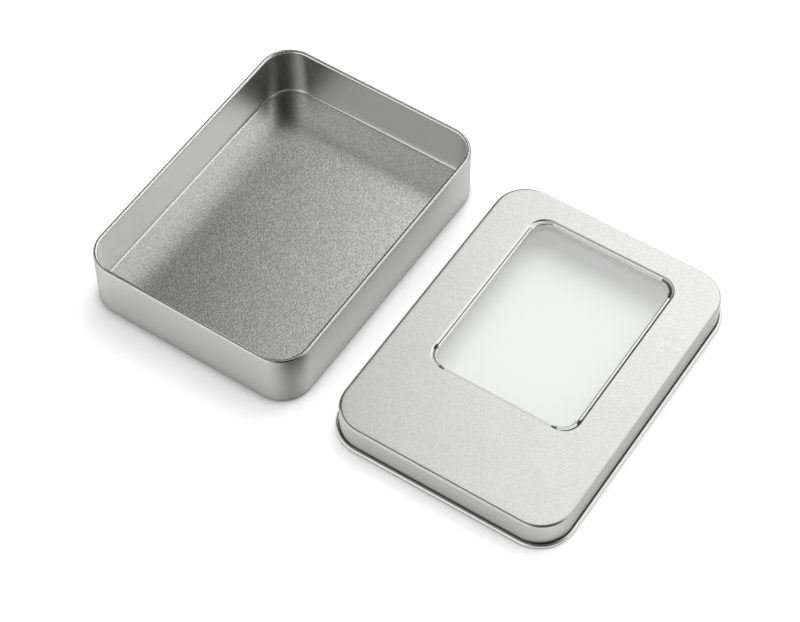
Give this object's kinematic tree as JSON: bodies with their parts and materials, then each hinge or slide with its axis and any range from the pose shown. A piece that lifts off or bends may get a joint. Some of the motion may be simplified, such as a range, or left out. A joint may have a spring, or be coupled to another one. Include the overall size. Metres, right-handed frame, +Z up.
{
  "type": "window lid tin",
  "caption": "Shallow rectangular tinplate tin with rounded corners: an open tray with a rolled rim, and a loose slip-on lid with a clear rectangular window, lying beside it.",
  "frame": {"origin": "middle of the tray's underside, on the surface that the tray and the lid stand on", "axes": "+Z up, +Y along the tray's long sides, +X from the tray towards the lid"},
  "size_m": [0.1791, 0.1158, 0.0217],
  "materials": {
    "tinplate_tray": "fine frosted tinplate, satin",
    "tinplate_lid": "fine frosted tinplate, satin",
    "clear_pane": "clear glossy plastic sheet",
    "clear_glue": "clear glue film"
  },
  "bodies": {
    "tray": {"tin_base": "tinplate_tray"},
    "lid": {"lid_shell": "tinplate_lid", "window_pane": "clear_pane", "pane_glue": "clear_glue"}
  },
  "joints": [
    {"name": "lid_lift", "type": "slide", "parent": "tray", "child": "lid", "axis": [0, 0, 1], "range_m": [0, 0.06]}
  ]
}
